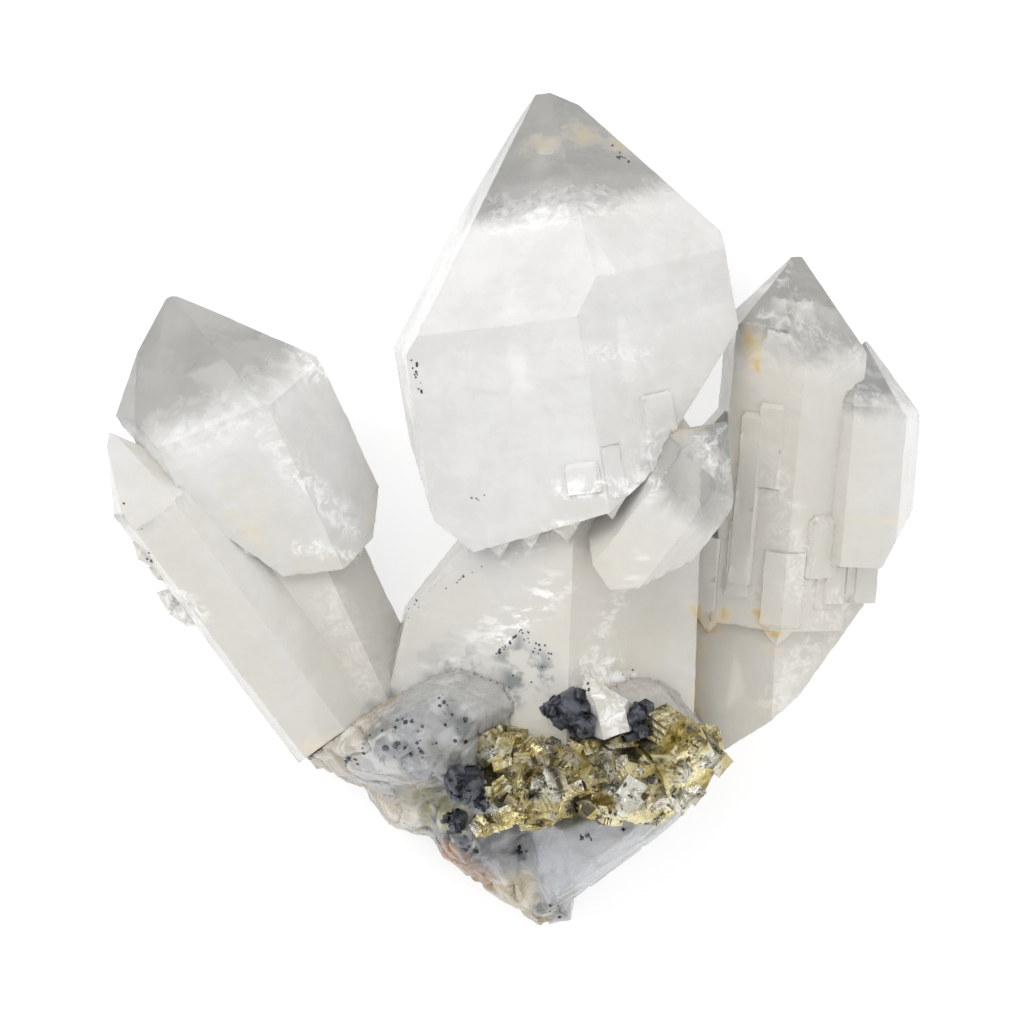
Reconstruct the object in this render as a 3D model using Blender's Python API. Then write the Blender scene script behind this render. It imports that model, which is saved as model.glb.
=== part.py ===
"""A quartz cluster: sceptre crystals grown together on a lump of vein rock with pyrite and dark sulphide.

The cluster lies on its back. +Y runs from the matrix to the crystal tips, +X to the right, and +Z up from
the surface that it rests on. Every size below is in millimetres. The scene is in metres.
"""

import math
import random

import bmesh
import bpy
from mathutils import Euler, Matrix, Vector

METRES = 0.001          # one millimetre in the scene's metres
BLOCK = 400.0           # side of the block that every crystal is cut from
CAP_ANGLE = 51.8        # between a quartz tip face's normal and the crystal's c axis
SEAM = 0.3              # gap kept between two pieces that touch
SIDE_COUNT = 6          # faces of a quartz prism
MERGE = 0.004           # corners nearer than this are one
FLAT = math.radians(0.2)  # faces that meet at less than this are one
# How far a lump of rock is drawn in towards its middle at each share of its height
ROUND_ROCK = ((-0.1, 0.4), (0.15, 0.2), (0.4, 0.0), (0.62, 0.1), (0.84, 0.28), (1.0, 0.62))
STEEP_ROCK = ((-0.1, 0.3), (0.14, 0.14), (0.45, 0.0), (0.75, 0.03), (0.92, 0.1), (1.0, 0.3))
BROAD_ROCK = ((-0.2, 0.0), (0.6, 0.0), (1.0, 0.4))


# Convex solids, each a list of planes given as (point, outward normal)

def solid_between(planes, grow=0.0):
    """The convex solid that lies behind every plane, with each plane first moved outwards by grow."""
    bm = bmesh.new()
    bmesh.ops.create_cube(bm, size=BLOCK)
    for point, normal in planes:
        normal = normal.normalized()
        bmesh.ops.bisect_plane(
            bm, geom=bm.verts[:] + bm.edges[:] + bm.faces[:], dist=1e-5,
            plane_co=point + normal * grow, plane_no=normal, clear_outer=True)
        rim = [edge for edge in bm.edges if edge.is_boundary]
        if rim:
            bmesh.ops.contextual_create(bm, geom=rim)
    bmesh.ops.recalc_face_normals(bm, faces=bm.faces[:])
    return bm


def facing_normal(facing, slope):
    """A direction whose plan turns by facing from +Y towards +X, lifted by slope, in degrees."""
    facing, slope = math.radians(facing), math.radians(slope)
    return Vector((math.sin(facing) * math.cos(slope), math.cos(facing) * math.cos(slope), math.sin(slope)))


def cut(x, y, z, facing, slope):
    """A cutting plane through a point."""
    return Vector((x, y, z)), facing_normal(facing, slope)


def crystal(foot, lean, pitch, roll, sides, tips, root=0.0, cap=CAP_ANGLE, cuts=()):
    """The planes of one quartz crystal: six prism faces, six tip faces, a root and any further cuts.

    foot is a point on its c axis. lean turns the axis from +Y towards +X, and pitch lifts its tip. roll is
    the first face's turn about the axis, from its front to its right. sides are the six faces' distances
    from the axis, and tips the heights above the foot where the six tip faces meet the axis.
    """
    along = facing_normal(lean, pitch)
    up = Vector((0.0, 0.0, 1.0))
    front = (up - along * up.dot(along)).normalized()
    right = along.cross(front)
    foot = Vector(foot)
    planes = [(foot - along * root, -along)]
    for i in range(SIDE_COUNT):
        turn = math.radians(roll + i * 360.0 / SIDE_COUNT)
        outward = front * math.cos(turn) + right * math.sin(turn)
        tip = outward * math.sin(math.radians(cap)) + along * math.cos(math.radians(cap))
        planes.append((foot + outward * sides[i], outward))
        planes.append((foot + along * tips[i], tip))
    return planes + list(cuts)


def prism_face(side):
    """Where a crystal's list of planes has the prism face of that side."""
    return 1 + 2 * side


def small_crystal(tip, lean, pitch, roll, width, length):
    """The planes of a small regular crystal, placed by its tip."""
    foot = Vector(tip) - facing_normal(lean, pitch) * length
    return crystal(foot, lean, pitch, roll, (width / 2,) * SIDE_COUNT, (length,) * SIDE_COUNT)


def point_behind(face, x, y, depth):
    """The point with the plan place (x, y) that lies a depth behind a face."""
    point, normal = face
    run = normal.x * (x - point.x) + normal.y * (y - point.y)
    return Vector((x, y, point.z - (run + depth) / normal.z))


def tooth(parent, side, turns, x, y, width, length, sunk):
    """A small crystal parallel to a larger one, its tip pointing to the larger one's foot.

    Its front lies sunk below the larger one's prism face of that side, or proud of it if sunk is negative.
    """
    lean, pitch, roll = turns
    tip = point_behind(parent[prism_face(side)], x, y, width / 2 + sunk)
    return small_crystal(tip, lean + 180, -pitch, -roll, width, length)


def ledge(parent, side, turns, x, y, half_width, reach, drop, proud):
    """A parallel crystal that stands a little proud of a larger one's prism face of that side."""
    foot = point_behind(parent[prism_face(side)], x, y, half_width - proud)
    return crystal(foot, *turns, (half_width,) * SIDE_COUNT, (reach,) * SIDE_COUNT, root=drop)


def cube_crystal(centre, size, turn, corner):
    """The planes of a pyrite cube. corner is how far its eight corners are cut, as a share of its size."""
    axes = Euler([math.radians(angle) for angle in turn]).to_matrix()
    centre = Vector(centre)
    planes = []
    for axis in range(3):
        for sign in (1, -1):
            normal = axes.col[axis] * sign
            planes.append((centre + normal * size / 2, normal))
    reach = size * (math.sqrt(3) / 2 - corner)
    for x in (1, -1):
        for y in (1, -1):
            for z in (1, -1):
                normal = (axes @ Vector((x, y, z))).normalized()
                planes.append((centre + normal * reach, normal))
    return planes


def rock(outline, top, profile, seed, jitter=0.5):
    """A faceted lump: the hull of a plan outline, drawn in step by step towards its top."""
    chance = random.Random(seed)
    middle = Vector((sum(x for x, y in outline), sum(y for x, y in outline))) / len(outline)
    bm = bmesh.new()
    for x, y in outline:
        for level, pull in profile:
            point = Vector((x, y)).lerp(middle, pull)
            height = top * level + chance.uniform(-jitter, jitter)
            bm.verts.new((point.x, point.y, height))
    hull = bmesh.ops.convex_hull(bm, input=bm.verts[:])
    bmesh.ops.delete(bm, geom=hull["geom_interior"], context="VERTS")
    bmesh.ops.recalc_face_normals(bm, faces=bm.faces[:])
    return bm


# The centre sceptre. Its turns, like those of the others, are lean, pitch and roll

CENTRE_TURNS = (-9.5, 5, -25)
CENTRE_HEAD = crystal(
    (10.3, -1.6, 17.6), *CENTRE_TURNS,
    sides=(15.5, 15.5, 20.0, 17.5, 17.0, 20.0), tips=(46.3, 50.3, 58.0, 57.5, 58.0, 50.0), root=12,
    cuts=(cut(-5.9, -3.8, 27, -148, -25), cut(9.0, -0.8, 34, 151, -25), cut(22.6, 12.8, 30, 132, -25)))
CENTRE_SIDE_HEAD = crystal(
    (15.0, -4.0, 28.0), 38, 5, 0, sides=(5.5, 5.6, 5.4, 5.5, 5.0, 5.2),
    tips=(19.5, 18.5, 17.0, 19.0, 19.0, 19.5), root=6,
    cuts=(cut(13.2, -6.3, 28, 175, -30), cut(10.8, -5.0, 28, -125, -20), cut(18.5, -7.6, 28, 155, -20)))
CENTRE_STEM = crystal(
    (5.0, -20.0, 14.0), 2, 5, -25,
    sides=(12.0, 12.5, 16.6, 11.0, 11.0, 20.0), tips=(50.0,) * 6, root=7.5,
    cuts=(cut(-14.0, -16.9, 16, -78, 5), cut(-9.2, -7.4, 16, -48.8, 8)))
CENTRE_TEETH = [
    tooth(CENTRE_HEAD, 0, CENTRE_TURNS, x, y, width, 9.0, sunk)
    for x, y, width, sunk in (
        (6.7, -3.8, 4.8, 0.1), (2.4, -4.4, 3.8, 0.2), (-1.4, -5.6, 3.6, 0.15), (-4.4, -5.2, 3.0, 0.3),
        (12.0, -1.0, 4.4, 0.25))]
CENTRE_LEDGES = [
    ledge(CENTRE_HEAD, side, CENTRE_TURNS, x, y, half_width, reach, drop, proud)
    for side, x, y, half_width, reach, drop, proud in (
        (0, 9.6, 5.4, 3.6, 5.0, 2.8, 0.45), (1, 15.8, 9.6, 3.8, 9.0, 6.0, 0.35))]
CLEAR_CHIP = crystal(
    (11.6, -25.5, 26.4), -14, 18, 10, sides=(2.3, 2.8, 3.6, 3.0, 3.0, 2.4),
    tips=(7.4, 6.2, 5.4, 8, 8, 8), root=0.8)

# The left sceptre with the crystal beside it

LEFT_TURNS = (-25, 15, -10)
LEFT_HEAD = crystal(
    (-25.0, -6.4, 12.0), *LEFT_TURNS,
    sides=(10.8, 10.8, 10.8, 13.0, 12.0, 12.3), tips=(36.9, 36.4, 37.0, 37.2, 38.6, 42.5), root=1,
    cuts=(cut(-16.3, -2.3, 18, 105, -20), cut(-30.8, -2.8, 20, -140, -30), cut(-21.8, -5.2, 20, 170, -30)))
LEFT_STEM = crystal(
    (-15.0, -27.5, 10.5), -25, 10, -10, sides=(7.0, 6.6, 6.6, 8.0, 7.0, 8.0),
    tips=(50.0,) * 6, root=6, cuts=(cut(-18.5, -27.0, 12, 145, 0),))
LEFT_SIDE_CRYSTAL = crystal(
    (-21.0, -26.0, 16.5), -36.7, 8, -20, sides=(5.2, 5.0, 5.0, 7.0, 5.6, 5.6),
    tips=(44.0, 44.0, 44.5, 46.0, 47.0, 47.0), root=6, cap=62, cuts=(cut(-22.5, -28.0, 12, 145, 0),))
LEFT_BUDS = [
    small_crystal(tip, lean, pitch, roll, width, 5.0)
    for tip, lean, pitch, roll, width in (
        ((-42.6, -9.6, 14.0), -70, 10, 10, 3.0), ((-41.2, -12.2, 14.5), -95, 0, 40, 3.2),
        ((-38.6, -13.4, 15.5), -120, 20, 15, 3.0), ((-45.4, -3.6, 19.0), -60, -5, 0, 2.6),
        ((-43.6, -6.6, 18.0), -75, 10, 30, 2.4))]
LEFT_COLLAR = [
    tooth(LEFT_HEAD, side, LEFT_TURNS, x, y, width, 9.0, sunk)
    for side, x, y, width, sunk in (
        (0, -32.6, -3.6, 4.4, 0.3), (0, -29.2, -6.4, 4.8, 0.15), (0, -25.6, -7.6, 4.4, 0.4),
        (0, -21.8, -7.2, 4.8, 0.2), (1, -18.0, -5.4, 3.8, 0.3))]

# The right sceptre, a bundle of parallel crystals

RIGHT_TURNS = (5, 8, -22)
RIGHT_HEAD = crystal(
    (31.1, -14.2, 11.5), *RIGHT_TURNS,
    sides=(7.0, 7.0, 8.0, 9.0, 9.0, 8.0), tips=(46.2, 43.2, 45.0, 47.0, 47.0, 47.0), root=-1)
RIGHT_SIDE_HEAD = crystal(
    (40.6, -4.1, 12.5), 5, 6, -40, sides=(5.6, 5.6, 5.9, 9.0, 9.0, 6.0),
    tips=(25.0, 24.6, 24.0, 26.0, 26.0, 25.4), root=2,
    cuts=(cut(46.6, -2.4, 12, 118, 0), cut(43.5, -5.6, 12, 150, -15)))
RIGHT_STEM = crystal(
    (30.0, -20.0, 10.0), 2, 6, -25, sides=(5.6, 6.3, 11.9, 9.0, 9.0, 14.0),
    tips=(40.0,) * 6, root=12, cuts=(cut(33.6, -22.0, 12, 143, -12), cut(38.4, -16.4, 12, 128, -8)))
RIGHT_LEDGES = [
    ledge(RIGHT_HEAD, side, RIGHT_TURNS, x, y, half_width, reach, drop, proud)
    for side, x, y, half_width, reach, drop, proud in (
        (1, 35.5, -4.0, 3.4, 7.5, 3.5, 0.7), (1, 37.3, -8.2, 2.4, 5.0, 2.5, 0.6),
        (0, 28.6, 1.4, 2.2, 13.0, 10.0, 0.5), (1, 40.9, -7.0, 2.8, 7.0, 3.6, 0.35),
        (1, 40.4, 8.6, 2.4, 9.0, 8.0, 0.55), (0, 31.6, 8.0, 2.6, 8.0, 5.0, 0.4))]
RIGHT_TEETH = [
    tooth(RIGHT_HEAD, side, RIGHT_TURNS, x, y, width, 12.0, sunk)
    for side, x, y, width, sunk in (
        (0, 23.4, -14.6, 4.8, -0.2), (0, 27.2, -12.8, 4.8, -0.35), (0, 31.5, -16.4, 5.0, -0.45),
        (1, 35.6, -14.2, 5.0, -0.25), (1, 39.4, -12.2, 4.4, -0.15))]

QUARTZ = [
    CENTRE_HEAD, CENTRE_SIDE_HEAD, CENTRE_STEM, *CENTRE_TEETH, *CENTRE_LEDGES, CLEAR_CHIP,
    LEFT_HEAD, LEFT_STEM, LEFT_SIDE_CRYSTAL, *LEFT_BUDS, *LEFT_COLLAR,
    RIGHT_HEAD, RIGHT_SIDE_HEAD, RIGHT_STEM, *RIGHT_LEDGES, *RIGHT_TEETH]

# Crystals whose roots sit in the matrix or that the ore touches
ROOTED = [CENTRE_STEM, CLEAR_CHIP, LEFT_STEM, LEFT_SIDE_CRYSTAL, RIGHT_STEM]

# The matrix, as lumps given by plan outline and height

MATRIX_LUMPS = (
    # The grey glassy lobe in front of the stems
    (((-25.0, -29.0), (-21.8, -31.6), (-18.2, -33.2), (-10.0, -34.6), (-3.0, -33.0), (1.5, -28.0),
      (5.0, -22.0), (2.0, -18.6), (-5.0, -16.8), (-9.0, -18.0), (-15.0, -22.0), (-20.5, -25.0)),
     29.5, ROUND_ROCK, 11),
    # The tan lobe at its left end
    (((-25.4, -29.2), (-21.8, -31.8), (-15.0, -31.0), (-12.5, -25.0), (-14.6, -21.6), (-19.6, -24.2)),
     24.0, ROUND_ROCK, 12),
    # The tan translucent lobe below it
    (((-18.4, -32.6), (-16.0, -36.4), (-14.6, -38.0), (-10.0, -39.2), (-5.0, -37.0), (-6.0, -30.0),
      (-14.0, -28.0)),
     18.0, ROUND_ROCK, 13),
    # The striated block
    (((-12.4, -33.0), (-7.0, -30.0), (-1.6, -34.0), (-1.6, -42.0), (-5.2, -44.0), (-8.2, -41.8),
      (-10.2, -39.0)),
     20.5, ROUND_ROCK, 14),
    # The dark lower edge
    (((-9.0, -36.0), (-4.0, -31.0), (5.0, -33.0), (7.0, -44.0), (3.6, -50.0), (1.4, -48.6), (-1.6, -46.4),
      (-5.0, -44.2), (-8.0, -41.6)), 16.0, ROUND_ROCK, 15),
    # The light block at the lower right
    (((-1.4, -35.6), (6.0, -32.4), (14.0, -30.0), (22.8, -31.4), (21.6, -35.4), (18.2, -38.4), (15.2, -40.8),
      (11.6, -43.0), (8.8, -45.0), (6.0, -47.6), (3.6, -48.8), (0.6, -44.0)), 22.5, ROUND_ROCK, 16),
    # The small lump at the lower tip
    (((2.8, -46.0), (7.6, -46.4), (7.2, -49.0), (4.4, -49.8)), 10.0, ROUND_ROCK, 17),
    # The seat of the ore
    (((-9.0, -32.0), (-6.0, -22.0), (9.0, -17.0), (19.0, -20.0), (24.0, -26.6), (24.6, -29.6), (22.4, -33.6),
      (14.0, -36.0), (-6.0, -37.0)), 25.0, STEEP_ROCK, 18),
    # The broad foot that all of them share
    (((-18.5, -30.0), (-13.0, -35.5), (-7.0, -40.0), (0.0, -45.0), (4.0, -46.0), (10.0, -41.5),
      (16.5, -37.0), (20.0, -32.0), (18.0, -25.0), (5.0, -21.0), (-7.0, -20.0), (-15.0, -24.0)),
     13.0, BROAD_ROCK, 19),
)

# The ore. Each mass is a list of fused cubes: centre, size, turn and corner cut

PYRITE_MASSES = {
    "pyrite_cluster": (
        ((1.6, -30.6, 24.4), 8.2, (24, 32, 15), 0.20), ((5.0, -31.4, 25.0), 7.4, (50, 12, 40), 0.16),
        ((3.2, -33.4, 23.8), 6.6, (10, 44, 66), 0.22), ((0.8, -32.8, 23.2), 5.0, (33, 61, 21), 0.18),
        ((8.6, -30.6, 24.8), 5.6, (15, 28, 52), 0.24), ((9.4, -33.4, 24.0), 4.8, (40, 20, 10), 0.20),
        ((14.2, -31.6, 25.0), 7.8, (35, 40, 12), 0.15), ((12.4, -28.6, 25.2), 4.6, (12, 30, 35), 0.22),
        ((19.4, -29.4, 24.6), 7.2, (42, 18, 28), 0.18), ((18.0, -26.8, 25.2), 4.6, (20, 48, 8), 0.22),
        ((22.2, -28.2, 23.4), 4.4, (10, 35, 44), 0.18), ((20.6, -31.6, 22.8), 4.4, (28, 8, 60), 0.20),
        ((17.2, -33.6, 23.2), 5.0, (48, 33, 5), 0.22), ((11.6, -35.0, 22.8), 3.4, (18, 50, 30), 0.20)),
    "pyrite_left_grain": (
        ((-2.6, -36.2, 20.2), 3.0, (30, 20, 15), 0.20), ((-1.4, -36.8, 20.4), 2.2, (10, 50, 35), 0.15)),
}
GALENA_GRAINS = {
    "galena_upper": (
        ((6.6, -23.4, 28.4), 3.6, (12, 30, 40), 0.14), ((8.6, -24.8, 28.0), 3.0, (40, 22, 8), 0.12)),
    "galena_right": (
        ((15.2, -24.6, 26.8), 2.8, (30, 12, 55), 0.14), ((13.9, -26.0, 26.4), 2.6, (8, 40, 20), 0.12)),
    "galena_left": (((-5.8, -32.2, 25.4), 3.4, (35, 25, 12), 0.16),),
    "galena_lower": (((-6.6, -36.8, 19.8), 2.2, (20, 40, 30), 0.20),),
    "galena_small": (((-3.4, -34.2, 23.0), 1.9, (15, 35, 62), 0.16),),
}

QUARTZ_LOOK = ((0.86, 0.86, 0.84), 0.12, 0.0)
MATRIX_LOOK = ((0.62, 0.61, 0.58), 0.45, 0.0)
PYRITE_LOOK = ((0.79, 0.64, 0.32), 0.28, 1.0)
GALENA_LOOK = ((0.14, 0.15, 0.18), 0.35, 1.0)


# Objects and Booleans

def helper_object(bm, collection):
    """An operand, which is never part of the model. It takes over the bmesh."""
    mesh = bpy.data.meshes.new("operand")
    bm.to_mesh(mesh)
    bm.free()
    obj = bpy.data.objects.new("operand", mesh)
    obj.hide_render = True
    obj.display_type = "WIRE"
    collection.objects.link(obj)
    return obj


def boolean(first, others, operation):
    """The union or difference of bmeshes, which it takes over, as a new bmesh."""
    scene = bpy.context.scene.collection
    operands = bpy.data.collections.new("operands")
    scene.children.link(operands)
    base = helper_object(first, scene)
    tools = [helper_object(other, operands) for other in others]
    modifier = base.modifiers.new("Boolean", "BOOLEAN")
    modifier.operation = operation
    modifier.solver = "EXACT"
    modifier.operand_type = "COLLECTION"
    modifier.collection = operands
    evaluated = base.evaluated_get(bpy.context.evaluated_depsgraph_get())
    result = bmesh.new()
    result.from_mesh(evaluated.to_mesh())
    evaluated.to_mesh_clear()
    for obj in (base, *tools):
        mesh = obj.data
        bpy.data.objects.remove(obj)
        bpy.data.meshes.remove(mesh)
    bpy.data.collections.remove(operands)
    return result


def tidy(bm):
    """Joins corners that nearly meet, flat neighbours into one face, and keeps the largest body."""
    bmesh.ops.remove_doubles(bm, verts=bm.verts[:], dist=MERGE)
    bmesh.ops.dissolve_degenerate(bm, edges=bm.edges[:], dist=MERGE)
    bmesh.ops.dissolve_limit(bm, angle_limit=FLAT, verts=bm.verts[:], edges=bm.edges[:])
    bmesh.ops.triangulate(bm, faces=bm.faces[:])
    keep_largest_body(bm)
    return bm


def keep_largest_body(bm):
    """Removes every chip that a cut left loose."""
    left = set(bm.verts)
    bodies = []
    while left:
        start = left.pop()
        body = {start}
        waiting = [start]
        while waiting:
            vert = waiting.pop()
            for edge in vert.link_edges:
                other = edge.other_vert(vert)
                if other not in body:
                    body.add(other)
                    waiting.append(other)
        left -= body
        bodies.append(body)
    largest = max(bodies, key=len)
    loose = [vert for vert in bm.verts if vert not in largest]
    bmesh.ops.delete(bm, geom=loose, context="VERTS")


def under_the_ground():
    """A block that fills the space below the surface that the cluster rests on."""
    bm = bmesh.new()
    bmesh.ops.create_cube(bm, size=BLOCK, matrix=Matrix.Translation((0.0, 0.0, -BLOCK / 2)))
    return bm


def fused(solids):
    """One solid of several that overlap, with nothing below the ground."""
    first, *rest = solids
    whole = boolean(first, rest, "UNION") if rest else first
    return boolean(whole, [under_the_ground()], "DIFFERENCE")


def new_object(name, bm, look):
    """A piece of the model with its own material. It takes over the bmesh."""
    colour, roughness, metallic = look
    mesh = bpy.data.meshes.new(name)
    bm.to_mesh(mesh)
    bm.free()
    obj = bpy.data.objects.new(name, mesh)
    bpy.context.scene.collection.objects.link(obj)
    material = bpy.data.materials.new(name)
    material.use_nodes = True
    shader = material.node_tree.nodes["Principled BSDF"]
    shader.inputs["Base Color"].default_value = (*colour, 1.0)
    shader.inputs["Roughness"].default_value = roughness
    shader.inputs["Metallic"].default_value = metallic
    mesh.materials.append(material)
    return obj


# The pieces

def quartz_crystals():
    whole = fused([solid_between(planes) for planes in QUARTZ])
    return new_object("quartz_crystals", tidy(whole), QUARTZ_LOOK)


def ore_piece(name, cubes, look, neighbours):
    """A mass of fused cubes, cut clear of the solids that it leans on."""
    whole = fused([solid_between(planes) for planes in cubes])
    clear = boolean(whole, [solid_between(planes, SEAM) for planes in neighbours], "DIFFERENCE")
    return new_object(name, tidy(clear), look)


def matrix(held):
    """The lump of vein rock, hollowed where the crystals' roots and the ore sit in it."""
    whole = fused([rock(*lump) for lump in MATRIX_LUMPS])
    sockets = [solid_between(planes, SEAM) for planes in held]
    return new_object("matrix", tidy(boolean(whole, sockets, "DIFFERENCE")), MATRIX_LOOK)


def to_metres_about_the_middle(pieces):
    """Moves the middle of the whole footprint to the origin, and turns millimetres into metres."""
    places = [vert.co for piece in pieces for vert in piece.data.vertices]
    middle = Vector((0.0, 0.0, 0.0))
    for axis in (0, 1):
        middle[axis] = (min(place[axis] for place in places) + max(place[axis] for place in places)) / 2
    shift = Matrix.Scale(METRES, 4) @ Matrix.Translation(-middle)
    for piece in pieces:
        piece.data.transform(shift)
        piece.data.update()


def main():
    for obj in list(bpy.data.objects):
        bpy.data.objects.remove(obj)
    pieces = [quartz_crystals()]
    placed = list(ROOTED)
    for masses, look in ((PYRITE_MASSES, PYRITE_LOOK), (GALENA_GRAINS, GALENA_LOOK)):
        for name, grains in masses.items():
            planes = [cube_crystal(*grain) for grain in grains]
            pieces.append(ore_piece(name, planes, look, placed))
            placed += planes
    pieces.append(matrix(placed))
    to_metres_about_the_middle(pieces)


main()
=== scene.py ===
"""The looks of the quartz cluster: milky and clear quartz, vein rock, pyrite and dark sulphide grains.

Lengths here are in millimetres unless a comment says metres. The plan is that of the photograph: X to the
right, Y up the picture and Z towards the viewer. The materials and lights are in metres.
"""

import math
import random

import bmesh
import bpy
from mathutils import Matrix, Vector, noise
from mathutils.bvhtree import BVHTree


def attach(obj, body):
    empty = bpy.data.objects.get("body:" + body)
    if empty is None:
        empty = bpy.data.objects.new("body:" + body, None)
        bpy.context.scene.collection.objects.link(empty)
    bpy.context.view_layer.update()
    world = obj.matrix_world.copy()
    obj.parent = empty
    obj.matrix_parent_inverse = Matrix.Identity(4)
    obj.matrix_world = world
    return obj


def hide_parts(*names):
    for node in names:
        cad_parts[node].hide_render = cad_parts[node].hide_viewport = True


MM = 0.001                              # one millimetre in metres
MIDDLE = Vector((0.215, 0.085, 0.0))    # middle of the footprint in the plan that the crystals are placed in
CAP_ANGLE = 51.8                        # between a tip face's normal and the c axis
SIDE_COUNT = 6
NEAR = 0.0001
SEED = 7
BROKEN = -1                             # marks the quartz's faces that are no crystal's growth face
SAME_FACING = 0.9997                    # faces whose normals' product is above this face the same way
SAME_PLANE = 0.05                       # faces whose middle is nearer to a plane than this lie on it
MERGE_DISTANCE = 0.002
FLAT_ANGLE = 0.3                        # degrees between faces that count as one flat face
QUARTZ_EDGE = 12                        # degrees between faces from which an edge stays sharp
ROCK_EDGE = 40
ROCK_BASE = 0.1                         # below this height the rock stays as the solid is
FLOOR_ZONE = 0.2                        # below this height the quartz stays as the solid is
MARKS_ABOVE = 6.0                       # below this height the quartz has no stains, veils or smoke

FINE_SLICE = 0.36                       # growth striations across the c axis
WIDE_SLICE = 1.5                        # cuts along the c axis
SMALL_SLICE = 0.7                       # cuts of the broken places
SPACING = (0.6, 1.4)                    # least and most distance between cuts, as shares of their spacing
CHIP_DEPTH = 0.16                       # how deep the broken places are roughened
STEP_DEPTH = 0.07                       # height of the growth steps
WAVE_DEPTH = 0.05                       # height of the slow waves of the growth faces
CLEAR_WANDER = 1.2                      # how far the limit of the clear quartz wanders
ROCK_CELL = 0.38                        # spacing of the points of the rock's surface
ROCK_RELIEF = 0.55
ROCK_CREASE = 0.5                       # depth of the rock's cracks
ROCK_CONTACT = 0.4                      # nearer than this to another piece the rock touches it
ROCK_OVERLAP = 0.3                      # and is grown by this there
ROCK_FREE = 1.0                         # from this far away the rock has its full relief
ROCK_TOP = 18.0                         # above this height the rock's zones are as the photograph shows
ZONE_WANDER = 1.6                       # how far the zones' limits wander
DEEP_WANDER = 0.5                       # and how much more for each millimetre below ROCK_TOP
ZONE_FALL = 2.2                         # how fast a zone's weight falls off around its middle
ROCK_TONE = 0.68                        # how bright the rock's colours are
SPOTS_FADE = (4.0, 14.0)                # the rock's spots fade out between these heights
SMALLEST_SPECK = 0.1
PYRITE_COUNT = 170                      # small crystals on the pyrite and on the galena
GALENA_COUNT = 90
RAY_HEIGHT = 60.0                       # above everything, where the look down for the specks starts
FACET_SLOPE = -0.1                      # small crystals grow on faces whose normal rises more than this
FEW_CUTS = 3                            # cuts of a small cube's sides
MANY_CUTS = 5
LARGE_CUBE = 1.0                        # cubes from this size have many cuts
GROOVE_SHARE = 0.03                     # a groove is at most this share of its cube deep
CUBE_TILT = 0.9                         # how far a small cube may lean, in radians
CUBE_STRETCH = (0.75, 1.2)              # shortest and longest side of a small cube, as shares of its size
CAMERA_HEIGHT = 5.0                     # metres
SENSOR = 36.0
FLOOR_SIZE = 12.0                       # metres
LIGHTS_AIM = 0.015                      # metres above the floor, where the lights point

# Main crystals: foot, (lean, pitch, roll), side distances, tip heights, clear length below the tip
CRYSTALS = {
    "centre_head": ((10.3, -1.6, 17.6), (-9.5, 5, -25), (15.5, 15.5, 20.0, 17.5, 17.0, 20.0),
                    (46.3, 50.3, 58.0, 57.5, 58.0, 50.0), 7.0),
    "centre_side_head": ((15.0, -4.0, 28.0), (38, 5, 0), (5.5, 5.6, 5.4, 5.5, 5.0, 5.2),
                         (19.5, 18.5, 17.0, 19.0, 19.0, 19.5), 9.0),
    "centre_stem": ((5.0, -20.0, 14.0), (2, 5, -25), (12.0, 12.5, 16.6, 11.0, 11.0, 20.0), (50.0,) * 6, 0.0),
    "clear_chip": ((11.6, -25.5, 26.4), (-14, 18, 10), (2.3, 2.8, 3.6, 3.0, 3.0, 2.4),
                   (7.4, 6.2, 5.4, 8.0, 8.0, 8.0), 0.0),
    "left_head": ((-25.0, -6.4, 12.0), (-25, 15, -10), (10.8, 10.8, 10.8, 13.0, 12.0, 12.3),
                  (36.9, 36.4, 37.0, 37.2, 38.6, 42.5), 11.0),
    "left_stem": ((-15.0, -27.5, 10.5), (-25, 10, -10), (7.0, 6.6, 6.6, 8.0, 7.0, 8.0), (50.0,) * 6, 0.0),
    "left_side_crystal": ((-21.0, -26.0, 16.5), (-36.7, 8, -20), (5.2, 5.0, 5.0, 7.0, 5.6, 5.6),
                          (44.0, 44.0, 44.5, 46.0, 47.0, 47.0), 8.0),
    "right_head": ((31.1, -14.2, 11.5), (5, 8, -22), (7.0, 7.0, 8.0, 9.0, 9.0, 8.0),
                   (46.2, 43.2, 45.0, 47.0, 47.0, 47.0), 8.0),
    "right_side_head": ((40.6, -4.1, 12.5), (5, 6, -40), (5.6, 5.6, 5.9, 9.0, 9.0, 6.0),
                        (25.0, 24.6, 24.0, 26.0, 26.0, 25.4), 6.0),
    "right_stem": ((30.0, -20.0, 10.0), (2, 6, -25), (5.6, 6.3, 11.9, 9.0, 9.0, 14.0), (40.0,) * 6, 0.0),
}

# Stretches in the photograph, in its pixels: from one point to another, how wide and how strong
PIXEL = 0.12                            # millimetres of the plan to one pixel
PICTURE = 1024
FADE_IN = 0.4                           # a stretch has its full strength within this share of its width
FADE_OUT = 1.5                          # and none beyond this one
STAINS = (
    ((530, 146), (566, 144), 9, 0.55), ((568, 128), (624, 146), 9, 0.6),
    ((752, 330), (752, 368), 8, 0.9), ((690, 606), (706, 630), 5, 0.9),
    ((706, 630), (726, 610), 5, 0.8), ((754, 610), (774, 646), 5, 0.9),
    ((776, 622), (776, 640), 5, 0.8), ((697, 640), (700, 720), 5, 0.5),
    ((376, 470), (378, 520), 10, 0.35), ((840, 520), (896, 522), 4, 0.35),
    ((312, 745), (340, 740), 9, 0.5), ((676, 432), (700, 424), 5, 0.4),
    ((735, 380), (742, 460), 6, 0.35), ((235, 515), (262, 545), 8, 0.3),
    ((745, 725), (770, 705), 5, 0.3),
)
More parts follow.
